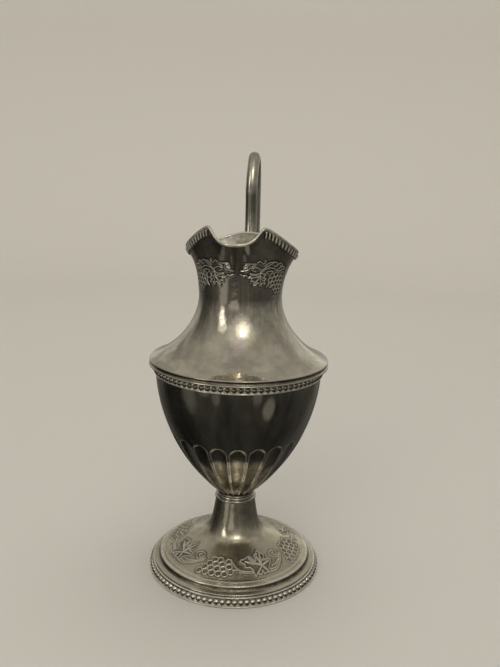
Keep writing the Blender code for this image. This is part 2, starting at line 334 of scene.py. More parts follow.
def makeTarnishGroup():
    # colour: bright plate under a film that drifts from straw to plum, with dark pits;
    # the film also dulls the plate, and its height gives the uneven sheet
    group, source, result = newGroup("tarnishFilm", ("Bright", "Straw", "Plum", "Amount", "Satin"),
                                     ("Color", "Roughness", "Metallic", "Height"))
    coords = group.nodes.new("ShaderNodeTexCoord").outputs["Object"]
    looks = filmLooks

    def layer(name, stretch=None):
        scale, detail, roughness, start, full = filmLayers[name]
        return addRange(group, addNoise(group, coords, scale, detail, roughness, stretch), start, full)

    blotch, stain, hue, pit = (layer(name) for name in ("blotch", "stain", "hue", "pit"))
    smear = layer("smear", looks["smearStretch"])
    stainCover = times(group, stain, looks["stainCover"])
    cover = timesPlus(group, blotch, looks["blotchCover"], stainCover)
    cover = times(group, cover, source.outputs["Amount"])
    film = addMix(group, hue, source.outputs["Straw"], source.outputs["Plum"])
    plate = addMix(group, cover, source.outputs["Bright"], film)
    pits = times(group, times(group, pit, blotch), looks["pitCover"])
    group.links.new(addMix(group, pits, plate, looks["pitColour"]), result.inputs["Color"])
    smeared = times(group, smear, looks["smearRoughness"])
    dulled = timesPlus(group, stain, looks["stainRoughness"], smeared)
    group.links.new(addMath(group, "ADD", source.outputs["Satin"], dulled), result.inputs["Roughness"])
    metal = addRange(group, cover, 0.0, 1.0, 1.0, looks["coveredMetal"])
    group.links.new(metal, result.inputs["Metallic"])
    grain = times(group, addNoise(group, coords, *looks["grain"]), looks["grainHeight"])
    ripple = addNoise(group, coords, *looks["ripple"])
    ripple = timesPlus(group, ripple, looks["rippleHeight"], grain)
    dented = addMath(group, "ADD", addNoise(group, coords, *looks["dent"]), ripple)
    group.links.new(dented, result.inputs["Height"])
    return group


shadeAndSheenLooks = {
    "patchNoise": (420, 3),  # scale and detail
    "patchRange": (0.3, 0.7, 0.6, 1.0),
    "shadeAndDirtRoughness": 0.3,
    "matteRoughness": 0.15,
    "highlightAndWearRoughness": 0.06,
    "highlightAndWearMetal": -0.5,
}


def makeShadeAndSheenGroup():
    # painted shade in dark brown where the shade-and-grime value is high, partly polish residue in hollows;
    # painted highlight in pale, less metallic metal where the highlight-and-wear value is high, partly real
    # wear;
    # and a satin surface where the matte value is high
    group, source, result = newGroup(
        "shadeDirtSheenAndWear",
        ("Color", "Roughness", "Metallic", "ShadeAndGrime", "HighlightAndWear", "Matte", "ShadeAndDirt", "HighlightAndWornColour", "Amount"),
        ("Color", "Roughness", "Metallic"),
    )
    given = source.outputs
    looks = shadeAndSheenLooks
    coords = group.nodes.new("ShaderNodeTexCoord").outputs["Object"]
    patchy = addRange(group, addNoise(group, coords, *looks["patchNoise"]), *looks["patchRange"])
    shadeAndDirtShare = times(group, times(group, given["ShadeAndGrime"], patchy), given["Amount"])
    # painted highlight: pale, less metallic colour where the highlight-and-wear value is high, partly real
    # wear
    highlightAndWearShare = times(group, given["HighlightAndWear"], patchy)
    highlightAndWornColour = addMix(group, highlightAndWearShare, given["Color"], given["HighlightAndWornColour"])
    group.links.new(addMix(group, shadeAndDirtShare, highlightAndWornColour, given["ShadeAndDirt"]), result.inputs["Color"])
    rough = timesPlus(group, shadeAndDirtShare, looks["shadeAndDirtRoughness"], given["Roughness"])
    rough = timesPlus(group, given["Matte"], looks["matteRoughness"], rough)
    rough = timesPlus(group, highlightAndWearShare, looks["highlightAndWearRoughness"], rough)
    group.links.new(rough, result.inputs["Roughness"])
    metal = timesPlus(group, highlightAndWearShare, looks["highlightAndWearMetal"], given["Metallic"])
    group.links.new(metal, result.inputs["Metallic"])
    return group


tarnishGroup = makeTarnishGroup()
shadeAndSheenGroup = makeShadeAndSheenGroup()
bumpDepth = 0.0005  # metres
finishSockets = {
    "film": {"Bright": "bright", "Straw": "straw", "Plum": "plum", "Amount": "filmAmount", "Satin": "satin"},
    "shadeAndDirt": {"ShadeAndDirt": "shadeAndDirt", "Amount": "shadeAndDirtAmount", "HighlightAndWornColour": "highlightAndWornColour"},
}


def makePlate(name, finish):
    # polished plate: the groups drive colour, roughness and metal, and the film's height a shallow bump
    material = bpy.data.materials.new(name)
    material.use_nodes = True
    tree = material.node_tree
    shader = tree.nodes["Principled BSDF"]
    film, shadeAndDirt = tree.nodes.new("ShaderNodeGroup"), tree.nodes.new("ShaderNodeGroup")
    film.node_tree, shadeAndDirt.node_tree = tarnishGroup, shadeAndSheenGroup
    for node, sockets in ((film, finishSockets["film"]), (shadeAndDirt, finishSockets["shadeAndDirt"])):
        for socketName, key in sockets.items():
            value = finish[key]
            node.inputs[socketName].default_value = (*value, 1) if isinstance(value, tuple) else value
    for shadeName, socketName in (("shadeAndGrime", "ShadeAndGrime"), ("highlightAndWear", "HighlightAndWear"), ("matte", "Matte")):
        attribute = tree.nodes.new("ShaderNodeAttribute")
        attribute.attribute_name = shadeName
        tree.links.new(attribute.outputs["Fac"], shadeAndDirt.inputs[socketName])
    for socketName in ("Color", "Roughness", "Metallic"):
        shaderSocket = "Base Color" if socketName == "Color" else socketName
        tree.links.new(film.outputs[socketName], shadeAndDirt.inputs[socketName])
        tree.links.new(shadeAndDirt.outputs[socketName], shader.inputs[shaderSocket])
    bump = tree.nodes.new("ShaderNodeBump")
    bump.inputs["Strength"].default_value = finish["unevenness"]
    bump.inputs["Distance"].default_value = bumpDepth
    tree.links.new(film.outputs["Height"], bump.inputs["Height"])
    tree.links.new(bump.outputs["Normal"], shader.inputs["Normal"])
    return material


plainFinish = {
    "bright": (0.74, 0.71, 0.60),
    "straw": (0.50, 0.445, 0.32),
    "plum": (0.43, 0.39, 0.36),
    "filmAmount": 0.8,
    "satin": 0.08,
    "shadeAndDirt": (0.06, 0.05, 0.04),
    "shadeAndDirtAmount": 0.85,
    "highlightAndWornColour": (0.82, 0.79, 0.70),
    "unevenness": 0.25,
}
chasedFinish = {
    "bright": (0.74, 0.705, 0.59),
    "straw": (0.55, 0.495, 0.36),
    "plum": (0.51, 0.415, 0.405),
    "filmAmount": 0.9,
    "satin": 0.055,
    "shadeAndDirt": (0.055, 0.045, 0.035),
    "shadeAndDirtAmount": 0.9,
    "highlightAndWornColour": (0.94, 0.91, 0.81),
    "unevenness": 0.3,
}
footFinish = dict(chasedFinish, bright=(0.72, 0.67, 0.53), straw=(0.52, 0.455, 0.32),
                  plum=(0.46, 0.385, 0.34), highlightAndWornColour=(0.84, 0.81, 0.72), satin=0.1)
# darker plate colours for the bowl: painted shade that darkens its reflections
flutedShadedFinish = dict(plainFinish, bright=(0.62, 0.595, 0.51), straw=(0.44, 0.395, 0.29),
                    plum=(0.38, 0.355, 0.34), satin=0.06, shadeAndDirtAmount=0.8, unevenness=0.1)
beadedFinish = {
    "bright": (0.80, 0.775, 0.67),
    "straw": (0.48, 0.42, 0.30),
    "plum": (0.42, 0.385, 0.35),
    "filmAmount": 0.7,
    "satin": 0.06,
    "shadeAndDirt": (0.035, 0.03, 0.022),
    "shadeAndDirtAmount": 0.97,
    "highlightAndWornColour": (0.93, 0.90, 0.82),
    "unevenness": 0.05,
}
plainPlate = makePlate("plainPlate", plainFinish)
chasedPlate = makePlate("chasedPlate", chasedFinish)
footPlate = makePlate("footPlate", footFinish)
flutedShadedPlate = makePlate("flutedShadedPlate", flutedShadedFinish)
beadedWire = makePlate("beadedWire", beadedFinish)
print("materials made")


# Chasing: raised lines between two furrows, punched grapes and sunk leaves, drawn on a flat plan of the band
chaseTool = {  # mm, and shares of painted shade and painted highlight
    "lineWidth": 0.18,  # where the raised line has fallen to 1/e
    "lineHeight": 0.1,
    "furrowOffset": 0.46,
    "furrowWidth": 0.28,
    "furrowDepth": 0.09,
    "grapeDepth": 0.13,
    "leafDepth": 0.06,
    "furrowShade": 0.75,
    "grapeShade": 0.42,
    "leafShade": 0.45,
    "lineShine": 0.85,
    "groundShade": 0.0,
    "groundReach": 0.9,
    "petalHeight": 0.1,
    "petalShine": 0.9,
    "leafEdge": (0.1, 0.7),  # over which a leaf sinks from its outline inwards
    "petalEdge": (0, 0.4),
    "grapeFade": 0.7,  # power that spreads a grape's painted shade over its dimple
    "reach": 1.6,
}
tiny = 1e-9  # keeps divisors from zero


def nearLine(plan, path, best, reach):
    # shortest distance from each plan point to the legs of a path, kept where it is the least so far
    low, high = path.min(0) - reach, path.max(0) + reach
    close = ((plan > low) & (plan < high)).all(-1)
    start, leg = path[:-1], np.diff(path, axis=0)
    offset = plan[close][:, None] - start
    share = np.clip((offset * leg).sum(-1) / np.maximum((leg ** 2).sum(-1), tiny), 0, 1)
    gap = offset - share[..., None] * leg
    best[close] = np.minimum(best[close], np.sqrt((gap ** 2).sum(-1).min(1)))


def insideOf(plan, path):
    # odd number of crossings to the right of each plan point
    x, y = plan[..., 0, None], plan[..., 1, None]
    ax, ay = path.T
    bx, by = np.roll(path, -1, 0).T
    across = (ay > y) != (by > y)
    meets = ax + (y - ay) / np.where(by == ay, tiny, by - ay) * (bx - ax)
    return (across & (x < meets)).sum(-1) % 2 == 1


def chased(plan, lines, leaves, grapes, tool, petals=()):
    # height: bell-shaped lines, bell-shaped furrows beside them, round dimples, sunk leaf faces and raised
    # petals; with it painted shade in the low places, partly polish grime, and painted highlight on the high
    # ones, partly wear
    grid, reach = plan.shape[:2], tool["reach"]
    line = np.full(grid, reach)
    for path in [*lines, *(np.vstack([path, path[:1]]) for path in leaves)]:
        nearLine(plan, path, line, reach)
    sunk = np.zeros(grid)
    for path in leaves:
        sunk = np.maximum(sunk, insideOf(plan, path) * smoothStep(*tool["leafEdge"], line))
    petal = np.zeros(grid)
    for path in petals:
        edge = np.full(grid, reach)
        nearLine(plan, np.vstack([path, path[:1]]), edge, reach)
        petal = np.maximum(petal, insideOf(plan, path) * smoothStep(*tool["petalEdge"], edge))
    dimple = np.zeros(grid)
    for x, y, radius in grapes:
        away = np.hypot(plan[..., 0] - x, plan[..., 1] - y)
        line = np.minimum(line, np.abs(away - radius))
        dimple = np.maximum(dimple, np.clip(1 - (away / radius) ** 2, 0, 1))
    ridge = np.exp(-((line / tool["lineWidth"]) ** 2))
    furrow = np.exp(-(((line - tool["furrowOffset"]) / tool["furrowWidth"]) ** 2)) * (1 - ridge)
    height = tool["lineHeight"] * ridge - tool["furrowDepth"] * furrow
    height += tool["petalHeight"] * petal - tool["grapeDepth"] * dimple - tool["leafDepth"] * sunk
    shades = tool["furrowShade"] * furrow + tool["leafShade"] * sunk
    shades += tool["grapeShade"] * dimple ** tool["grapeFade"]
    shades += tool["groundShade"] * np.exp(-((line / tool["groundReach"]) ** 2))
    shine = np.maximum(tool["lineShine"] * ridge, tool["petalShine"] * petal)
    return height, np.clip(shades, 0, 1) * (1 - ridge) * (1 - petal), shine


# Foot: angle in degrees and radius in mm for one of the four repeats of the vine
footVine = {
    "leaf": [
        (27, 24.3), (24.5, 23.3), (21, 23.2), (19.6, 22.6), (20.2, 21.9), (17.5, 21.2), (15.6, 20.5),
        (17.2, 19.8), (20.3, 19.75), (22.2, 19.3), (25.6, 18.75), (28.3, 19.5), (31, 20.5), (32.8, 21.2),
        (33.9, 20), (33.6, 18.9), (35.6, 18.2), (37.4, 18.6), (38.3, 17.6), (41.2, 17), (43.2, 18.2),
        (45.9, 19.2), (44.2, 20.3), (41, 21.2), (44.3, 21.3), (47.2, 21.1), (49.8, 21.9), (48.3, 22.8),
        (45.9, 23.5), (42.7, 24.8), (43.3, 25.9), (41.4, 26.6), (38.6, 26.2), (36.2, 26.7), (35.2, 25.3),
        (33.6, 26.6), (30.2, 26.3), (27.6, 27.1), (27, 25.6),
    ],
    "veins": [
        [(37, 23.2), (33, 22.3), (27, 21.6), (21, 20.7)],
        [(37.2, 23), (36.6, 21), (35.8, 19.1)],
        [(37.4, 23), (39, 21), (41, 18.2)],
        [(37.6, 23.3), (42, 22.6), (47.6, 22)],
        [(37.6, 23.6), (39, 24.8), (40.6, 26)],
        [(36.8, 23.6), (33, 24.8), (28.8, 26.5)],
        [(31, 22), (28, 20.6), (25.8, 19.5)],
    ],
    "stems": [
        [(14.5, 26), (14.3, 25), (14.4, 24.1)],
        [(14.4, 25), (20, 25.35), (26.6, 25.5)],
        [(14.4, 24.2), (20, 24.75), (27, 24.9)],
        [(5.6, 19.8), (7.6, 21.2), (10.6, 22.9), (14.6, 24.1)],
        [(8.4, 24.1), (11, 24), (14.4, 24.2)],
        [(43, 26.5), (48, 26.4), (52, 25.8), (57, 24.6), (62, 23.1), (66.2, 21.9)],
        [(44, 25.6), (48.5, 25.6), (52, 24.9), (57, 23.8), (61.5, 22.5), (66.4, 21.1)],
        [(46.6, 24.5), (51, 24.2), (55, 23.6), (59, 23)],
    ],
    "tendril": [
        (66, 21.3), (62, 22), (57, 22.1), (53.4, 21), (52.4, 20), (55, 19.2), (59.6, 18.9),
        (63.4, 19.9), (62.6, 21.1), (59.4, 21.3), (57, 20.6), (58.6, 19.9), (60.4, 20.3),
    ],
    "grapes": [
        (-22.5, 26.1), (-16.5, 26.05), (-10.5, 25.95), (-4.7, 25.9), (0.9, 25.8), (5.9, 24.8),
        (-19.5, 24.15), (-13.2, 24.1), (-7.2, 24), (-1.1, 23.9), (4.2, 22.75),
        (-16.2, 22.3), (-9.6, 22.2), (-2.9, 22.05), (3.2, 20.8), (-12.4, 20.5), (-6, 20.3),
    ],
    "veinWidth": 0.2,
    "grapeRadius": 1.13,
    "repeats": 4,
    "start": -30,  # degrees, where a repeat begins
    "lineSteps": 5,  # to each span between two points
    "leafSteps": 3,
}
footBand = {"outer": 27.7, "inner": 16.4, "rows": 66, "columns": 1080, "plainColumns": 216}
footSizes = {
    # radius and height of the outline's points
    "skirt": [(32.7, 0.9), (32.7, 2.3)],
    "edge": [(32.7, 3.72), (33, 3.86), (33.1, 4.1), (32.98, 4.34), (32.6, 4.46), (32, 4.54), (31.45, 4.72),
             (31.06, 5.06), (30.84, 5.5), (30.74, 5.95), (30.64, 6.28), (30.46, 6.48), (30.15, 6.56)],
    "slopeTop": (16.0, 12.95),
    "trumpetPulls": [(10.7, 15.4), (9.9, 15.3)],
    "stemTop": (7.95, 29.3),
    "spigot": [(7.0, 29.4), (7.0, 31.7)],
    "hem": [(29.6, 5.6), (31.0, 4.2), (31.8, 3.6), (31.8, 0.9)],
    # radius and height above the slope of the raised line round its edge
    "rimLine": [(29.3, 0), (29.05, 0.03), (28.85, 0.12), (28.6, 0.12), (28.4, 0.03), (28.15, 0)],
    "edgeSteps": 4,
    "trumpetSteps": 200,
    "trumpetSpacing": 0.55,
    "wall": 0.9,
    # height and painted shade under the ledge and in the cove, height and painted highlight on the ledge and
    # the slope's edge
    "shade": [(3.75, 1), (3.95, 0.1), (4.6, 0.1), (5.0, 0.9), (5.95, 0.9), (6.2, 0)],
    "highlightAndWearShare": [(3.9, 0), (4.1, 0.4), (4.4, 0.4), (4.6, 0), (6.0, 0), (6.3, 0.8), (6.56, 0.8), (6.75, 0)],
    "rimLineHighlight": 0.5,
    "rimLineRise": (28.4, 28.6),
    "rimLineFall": (29.1, 28.9),
    "slopeSatin": 0.75,
    "stemSatin": [(14, 0.75), (19, 0)],
}


def plotted(points):
    # plan point of an (angle in degrees, radius) pair: the foot seen from above
    angle, radius = np.radians(np.asarray(points, float)[:, 0]), np.asarray(points, float)[:, 1]
    return np.stack([radius * np.sin(angle), radius * np.cos(angle)], -1)


def shifted(points, degrees):
    # the same points, turned round the axis
    return [(angle + degrees, radius) for angle, radius in points]


def lensOf(path, width):
    # a closed loop round a path, widest half way along: the path pushed to both sides by a half sine wave
    run, rise = np.gradient(path, axis=0).T
    side = np.stack([-rise, run], -1) / np.hypot(run, rise)[:, None]
    bulge = width * np.sin(np.pi * np.linspace(0, 1, len(path)))[:, None]
    return np.vstack([path + bulge * side, (path - bulge * side)[::-1]])


def footOrnament(radii):
    # the vine of one repeat, worked out with its neighbour's ends, then tiled round the foot
    vine, columns = footVine, footBand["columns"]
    repeats, steps = vine["repeats"], vine["lineSteps"]
    angles = np.radians(vine["start"] + np.arange(columns // repeats) * 360 / columns)
    plan = np.stack([radii[:, None] * np.sin(angles), radii[:, None] * np.cos(angles)], -1)
    lines, leaves, grapes = [], [], []
    for turn in (-360 / repeats, 0):
        stems = [*vine["stems"], vine["tendril"]]
        lines += [plotted(smoothLine(shifted(path, turn), steps)) for path in stems]
        veins = [plotted(smoothLine(shifted(path, turn), steps)) for path in vine["veins"]]
        lines += [lensOf(path, vine["veinWidth"]) for path in veins]
        leaves.append(plotted(smoothLine(shifted(vine["leaf"], turn), vine["leafSteps"])))
        grapes += [(x, y, vine["grapeRadius"]) for x, y in plotted(shifted(vine["grapes"], turn))]
    roll = int(vine["start"] * columns / 360)
    parts = chased(plan, lines, leaves, grapes, chaseTool)
    return [np.roll(np.tile(part, (1, repeats)), roll, 1) for part in parts]


def slopeAt(radius):
    # straight line from the top of the edge to the foot of the trumpet
    (outer, low), (inner, high) = footSizes["edge"][-1], footSizes["slopeTop"]
    return low + (outer - radius) / (outer - inner) * (high - low)


def footOutline():
    # edge up to the chased band, the band's straight slope, and the stem as one cubic
    sizes = footSizes
    edge = smoothLine(sizes["edge"], sizes["edgeSteps"])
    rimLine = [(radius, slopeAt(radius) + raised) for radius, raised in sizes["rimLine"]]
    radii = np.linspace(footBand["outer"], footBand["inner"], footBand["rows"])
    slope = np.stack([radii, slopeAt(radii)], -1)
    trumpet = cubicLine([sizes["slopeTop"], *sizes["trumpetPulls"], sizes["stemTop"]], sizes["trumpetSteps"])
    return np.vstack([sizes["skirt"], edge, rimLine]), slope, evenly(trumpet, sizes["trumpetSpacing"])


def makeFootShell():
    # edge, carved slope and stem outside, then the bore, lining and hem inside, closed on themselves
    sizes, plain = footSizes, footBand["plainColumns"]
    low, slope, trumpet = footOutline()
    height, shadeAndGrime, highlightAndWear = footOrnament(slope[:, 0])
    carved = pushedOut(slope, outwardOf(slope[::-1])[::-1], height, footBand["columns"])
    # the lining is a wall's thickness in, on every sixth row of the slope and every second of the stem
    spigot = np.array(sizes["spigot"])
    bore = spigot[::-1] - [sizes["wall"], 0]
    lining = inset(np.vstack([slope[::6], trumpet[1:-3:2]]), sizes["wall"])[::-1]
    rest = np.vstack([trumpet, spigot, bore, lining, sizes["hem"]])
    # painted shade under the ledge and in the cove, painted highlight on the ledge, the slope's edge and the
    # raised line round it
    shade = ramped(low[:, 1:], sizes["shade"])
    onRimLine = smoothStep(*sizes["rimLineRise"], low[:, :1]) * smoothStep(*sizes["rimLineFall"], low[:, :1])
    highlightAndWearShare = np.maximum(ramped(low[:, 1:], sizes["highlightAndWearShare"]), sizes["rimLineHighlight"] * onRimLine)
    satin = ramped(rest[:, 1:], sizes["stemSatin"])
    return skin("footShell", [spun(low, plain), carved, spun(rest, plain)], True,
                [shade, shadeAndGrime, 0], [highlightAndWearShare, highlightAndWear, 0], [0, sizes["slopeSatin"], satin])


addPiece("footShell", makeFootShell(), footPlate, "foot_shell", 50)

footBaseSizes = {"inner": 31.7, "outer": 35.1, "top": 0.74, "power": 3, "sides": 40, "columns": 240}


def makeFootBaseRing():
    # a rectangle with rounded corners, from signed powers of a cosine and a sine, carried round the axis
    sizes = footBaseSizes
    turn = turnAngles(sizes["sides"])
    wave = np.stack([np.cos(turn), np.sin(turn)], -1)
    wave = np.sign(wave) * np.abs(wave) ** (2 / sizes["power"])
    low, high = np.array([sizes["inner"], 0]), np.array([sizes["outer"], sizes["top"]])
    loop = (low + high) / 2 + wave * (high - low) / 2
    # painted highlight over the whole ring
    return skin("footBaseRing", [spun(loop, sizes["columns"])], True, None, [1])


addPiece("footBaseRing", makeFootBaseRing(), plainPlate, "foot_base_ring")

footBeads = {
    "count": 92,
    "columns": 12,  # to a bead
    "plainColumns": 2,
    "stripBottom": (34.4, 0.78),
    "stripTop": (33.6, 2.95),
    "rows": 20,
    "width": 0.98,  # of half the pitch
    "taper": 0.06,  # narrower towards the foot by this share
    "tall": 0.98,  # of half the strip
    "height": 0.8,
    "wire": [(33.45, 3.0), (33.45, 3.06), (33.64, 3.18), (33.72, 3.36), (33.6, 3.54), (33.25, 3.64)],
    "back": [(33.0, 3.64), (33.0, 0.78)],
    "gapFade": 2,
    "upperPart": (-0.35, 0.25),  # of the half strip
    "underside": (0.2, -0.35),
    "undersideShade": 0.95,
    "topFrom": (0.5, 0.9),  # of the bead's height
    "topHighlight": 0.6,
    "stripHighlight": 0.8,
    "wireHighlight": 0.7,
    "wireFoot": 3.1,  # painted shade below this height
}
wireSteps = 4  # to each span of a plain wire's section


def beadDomes(beads):
    # on each bead's place the upper half of an ellipsoid, pushed out from a plain strip
    columns = beads["count"] * beads["columns"]
    across = 2 * ((np.arange(columns) / beads["columns"]) % 1) - 1
    along = np.linspace(-1, 1, beads["rows"])[:, None]
    width = beads["width"] * (1 - beads["taper"] + beads["taper"] * along)
    dome = np.sqrt(np.clip(1 - (across / width) ** 2 - (along / beads["tall"]) ** 2, 0, 1))
    strip = np.linspace(beads["stripBottom"], beads["stripTop"], beads["rows"])
    return pushedOut(strip, outwardOf(strip), beads["height"] * dome, columns), dome, along


def makeFootBeadBorder():
    # painted shade in the gaps above the beads and on their undersides, painted highlight on their tops and
    # on the strip between their feet
    beads = footBeads
    beaded, dome, along = beadDomes(beads)
    plain = np.vstack([smoothLine(beads["wire"], wireSteps), beads["back"]])
    gap = np.clip(1 - dome * beads["gapFade"], 0, 1)
    above = smoothStep(*beads["upperPart"], along)
    under = (1 - gap) * smoothStep(*beads["underside"], along)
    shadeAndGrime = np.maximum(gap * above, beads["undersideShade"] * under)
    highlightTop = smoothStep(*beads["topFrom"], dome) * above
    highlightAndWear = np.maximum(beads["topHighlight"] * highlightTop, beads["stripHighlight"] * gap * (1 - above))
    wireShade = np.where(plain[:, 1:] < beads["wireFoot"], 1, 0)
    rest = spun(plain, beads["count"] * beads["plainColumns"])
    return skin("footBeadBorder", [beaded, rest], True, [shadeAndGrime, wireShade], [highlightAndWear, beads["wireHighlight"]])


addPiece("footBeadBorder", makeFootBeadBorder(), beadedWire, "foot_bead_border", 60)

collarSizes = {
    "bore": 7.05,
    "bottom": 29.2,
    "lowerRing": 8.4,
    "upperRing": 7.95,
    "groove": 7.6,
    "top": 32.1,
    "steps": 5,
    "columns": 180,
    # height and painted shade: at both seams, in the groove and above the upper ring
    "shade": [(29.2, 1), (29.4, 0), (30.3, 0), (30.6, 0.8), (30.8, 0), (31.45, 0), (31.7, 0.8), (32.1, 1)],
}


def makeStemCollar():
    # two half-round rings with a groove between them, carried round the axis
    sizes = collarSizes
    bore, bottom, top = sizes["bore"], sizes["bottom"], sizes["top"]
    low, high = sizes["lowerRing"], sizes["upperRing"]
    outside = [(7.5, bottom), (8, 29.22), (low - 0.06, 29.5), (low, 29.8), (low - 0.08, 30.15), (7.85, 30.45),
               (sizes["groove"], 30.62), (high - 0.12, 30.8), (high, 31.1), (high - 0.12, 31.42),
               (7.45, 31.62), (7.2, 31.9), (7.12, top)]
    loop = np.vstack([smoothLine(outside, sizes["steps"]), [(bore, top), (bore, bottom)]])
    # painted shade at the seams and in the groove
    shade = ramped(loop[:, 1:], sizes["shade"])
    return skin("stemCollar", [spun(loop, sizes["columns"])], True, [shade])


addPiece("stemCollar", makeStemCollar(), plainPlate, "stem_collar", 60)

# Bowl, with tongue flutes cut into its lower half
bowlSizes = {
    "outline": [(6.6, 32.15), (18.5, 41.9), (31.3, 60.1), (32.6, 83.0)],  # start, pulls and end of a cubic
    "steps": 600,
    "seat": [(32.0, 83.3), (32.0, 85.9)],
    "wall": 1.3,
}
fluteSizes = {
    "count": 22,
    "columns": 28,  # to a flute
    "turn": 0.6,  # of the pitch, from the spout to the nearest middle of a flute
    "halfWidth": 0.43,  # of the pitch
    "top": 60.0,
    "margin": 0.8,  # mm of fine columns above the flutes
    "plainShare": 4,  # fine columns to each plain one
    "hollow": 0.17,  # depth over half width
    "endWall": 0.55,  # run of the wall at the round end, mm
    "edge": 0.06,  # raised line along the cut, mm
    "edgeWidth": 0.2,
    "shade": [(44, 0.85), (52, 0.35)],  # height and painted shade, heavier low down to darken the flutes' reflections
    "edgeShine": 0.5,
    "spacing": 0.36,
}


def flutes(line, along):
    # tongues, straight below and round at the top, hollowed by a parabola across, with a short wall
    # and a raised line along the edge
    sizes = fluteSizes
    pitch = 2 * np.pi / sizes["count"]
    across = ((turnAngles(sizes["columns"] * sizes["count"]) / pitch - sizes["turn"] + 0.5) % 1 - 0.5) * pitch
    top = np.interp(sizes["top"], line[:, 1], along)
    half = sizes["halfWidth"] * pitch * line[:, :1]
    endHalf = np.interp(top - half.max(), along, half[:, 0])
    beyond = np.clip(along[:, None] - (top - endHalf), 0, None)
    side = np.abs(across) * line[:, :1]
    half = np.where(beyond > 0, endHalf, half)
    inward = half - np.hypot(side, beyond)
    reach = np.sqrt(np.clip(half ** 2 - beyond ** 2, tiny, None))
    scoop = sizes["hollow"] * half * np.clip(1 - (side / reach) ** 2, 0, 1)
    wall = smoothStep(0, sizes["endWall"], inward)
    ridge = np.exp(-((inward / sizes["edgeWidth"]) ** 2))
    # painted shade in each flute, heavier low down, and a painted highlight along the raised edge
    shade = wall * ramped(line[:, 1:], sizes["shade"])
    return sizes["edge"] * ridge - scoop * wall, shade, sizes["edgeShine"] * ridge


def makeBowl():
    # fine columns where the flutes are, coarser ones above them and inside
    columns, thick = fluteSizes["columns"] * fluteSizes["count"], bowlSizes["wall"]
    wall = evenly(cubicLine(bowlSizes["outline"], bowlSizes["steps"]), fluteSizes["spacing"])
    cut = wall[:, 1] < fluteSizes["top"] + fluteSizes["margin"]
    push, shadeAndGrime, highlightAndWear = flutes(wall[cut], lengthAlong(wall)[cut])
    fluted = pushedOut(wall[cut], outwardOf(wall)[cut], push, columns)
    seat = np.array(bowlSizes["seat"])
    lining = inset(wall[::4], thick)[::-1]
    rest = np.vstack([wall[~cut][::3], wall[-1:], seat, seat[::-1] - [thick, 0], lining])
    around = spun(rest, columns // fluteSizes["plainShare"])
    return skin("flutedBowl", [fluted, around], False, [shadeAndGrime, 0], [highlightAndWear, 0])


addPiece("flutedBowl", makeBowl(), flutedShadedPlate, "bowl", 50)

bandBeads = {
    "count": 86,
    "columns": 12,
    "plainColumns": 3,
    "stripBottom": (32.85, 83.5),
    "stripTop": (32.85, 85.65),
    "rows": 16,
    "width": 0.96,
    "taper": 0.06,
    "tall": 0.98,
    "height": 0.8,
    "upperWire": [(32.95, 85.7), (33.3, 85.74), (33.42, 85.88), (33.3, 86.02), (32.9, 86.05)],
    "back": [(32.3, 86.05), (32.3, 83.35), (32.66, 83.1)],
    "lowerWire": [(32.72, 82.95), (33.05, 83.0), (33.2, 83.17), (33.1, 83.36), (32.9, 83.42)],
    "gapFade": 3.5,
    "gapHighlight": 0.8,
    "topFrom": (0.35, 0.8),
    "topShade": 0.7,
    "wireHighlight": 0.35,
}


def makeBowlBeadBand():
    # painted highlight on the strip between the beads, and painted shade on their tops for their dark
    # reflections
    beads = bandBeads
    beaded, dome, _ = beadDomes(beads)
    upper, lower = smoothLine(beads["upperWire"], wireSteps), smoothLine(beads["lowerWire"], wireSteps)
    rest = spun(np.vstack([upper, beads["back"], lower]), beads["count"] * beads["plainColumns"])
    shadeAndGrime = beads["topShade"] * smoothStep(*beads["topFrom"], dome)
    highlightAndWear = beads["gapHighlight"] * np.clip(1 - dome * beads["gapFade"], 0, 1)
    return skin("bowlBeadBand", [beaded, rest], True, [shadeAndGrime, 0], [highlightAndWear, beads["wireHighlight"]])


addPiece("bowlBeadBand", makeBowlBeadBand(), beadedWire, "bowl_bead_band", 60)

# Upper body and lip: stations from the spout round to the back, degrees and mm
lipSizes = {
    "waist": (16.06, 113.7),
    "spout": 134.4,
    "spoutPower": 3,
    "peakAngle": 33.75,
    "peak": 140.6,
    "peakSoftness": 1.2,
    "dipEnd": 60,  # where the ramp of the dip stops growing
    "lowAngle": 108,
    "low": 130.1,
    "wavePower": 0.82,
    "back": 135.7,
    "radius": [(0, 19.2), (33.75, 17.8), (95, 21.9), (180, 19.8)],
    "lean": [(0, 22), (33.75, 15), (95, 35), (180, 32)],
    "waistPull": 0.38,
    "waistSpread": 0.035,
    "rimPull": 6.8,
    "wall": 0.9,
    "edge": 0.75,
    "corrections": 8,
}


def awayFromSpout(angles):
    # degrees from the spout, the same on both sides
    return np.degrees(np.abs((angles + np.pi) % (2 * np.pi) - np.pi))


def eased(away, stations):
    # cosine easing between neighbouring stations
    at, value = np.array(stations, float).T
    index = np.clip(np.searchsorted(at, away, side="right") - 1, 0, len(at) - 2)
    share = (away - at[index]) / (at[index + 1] - at[index])
    return ease(value[index], value[index + 1], share)


def rimHeight(away):
    # pouring dip as a cubed ramp, a steep ease down to the side and an ease up to the back;
    # the peak is rounded by taking the soft minimum of ramp and ease: -w log(e^(-a/w) + e^(-b/w))
    s = lipSizes
    soft = s["peakSoftness"]
    dip = (s["peak"] - s["spout"]) * (np.minimum(away, s["dipEnd"]) / s["peakAngle"]) ** s["spoutPower"]
    share = np.clip((away - s["peakAngle"]) / (s["lowAngle"] - s["peakAngle"]), 0, 1)
    side = ease(s["peak"], s["low"], share ** s["wavePower"]) - s["spout"]
    front = s["spout"] - soft * np.logaddexp(-dip / soft, -side / soft)
    rear = ease(s["low"], s["back"], (away - s["lowAngle"]) / (180 - s["lowAngle"]))
    return np.where(away < s["lowAngle"], front, rear)


